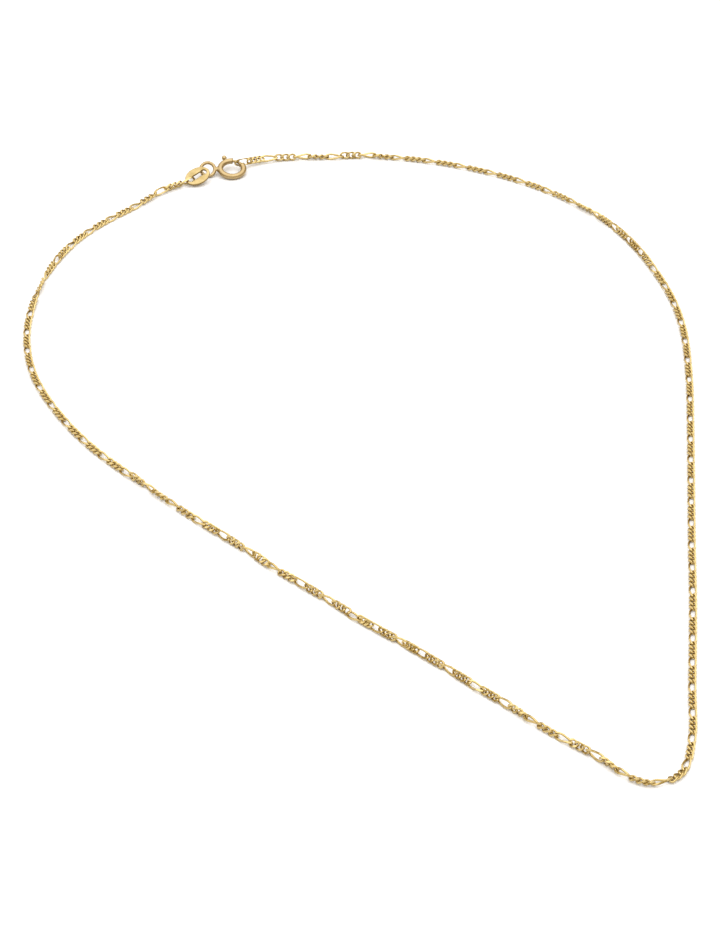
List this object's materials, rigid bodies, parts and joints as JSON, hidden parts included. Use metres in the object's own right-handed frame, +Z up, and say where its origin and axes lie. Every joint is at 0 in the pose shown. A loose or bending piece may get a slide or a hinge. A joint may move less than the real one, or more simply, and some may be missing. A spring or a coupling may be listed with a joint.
{
  "type": "figaro chain necklace",
  "caption": "Fine gold figaro neck chain of short and long twisted links, closed by a spring ring through a slotted oval tag, lying as a loop.",
  "frame": {"origin": "bottom centre of the loop's box, on the surface that the chain lies on", "axes": "+Z up from the surface; +Y from the loop's narrow front end to the clasp end; +X to the viewer's right"},
  "size_m": [0.1068, 0.172, 0.0022],
  "materials": {
    "chain_gold": "polished yellow gold, flat faces cut bright",
    "tag_gold": "brightly polished yellow gold sheet",
    "clasp_gold": "satin to polished yellow gold"
  },
  "bodies": {
    "necklace": {"chain": "chain_gold", "tag_long_link": "chain_gold", "tag_short_link_1": "chain_gold", "tag_short_link_2": "chain_gold", "tag_short_link_3": "chain_gold", "clasp_long_link": "chain_gold", "clasp_short_link_1": "chain_gold", "clasp_short_link_2": "chain_gold", "clasp_short_link_3": "chain_gold", "tag": "tag_gold", "spring_ring": "clasp_gold"},
    "trigger": {"trigger": "clasp_gold"}
  },
  "joints": [
    {"name": "trigger", "type": "hinge", "parent": "necklace", "child": "trigger", "pos_m": [-0.02127, 0.07997, 0.00094], "axis": [0.0512, -0.2079, 0.9768], "range_deg": [0, 42], "stiffness_Nm_per_rad": 0.0005, "springref_deg": -11.46}
  ]
}
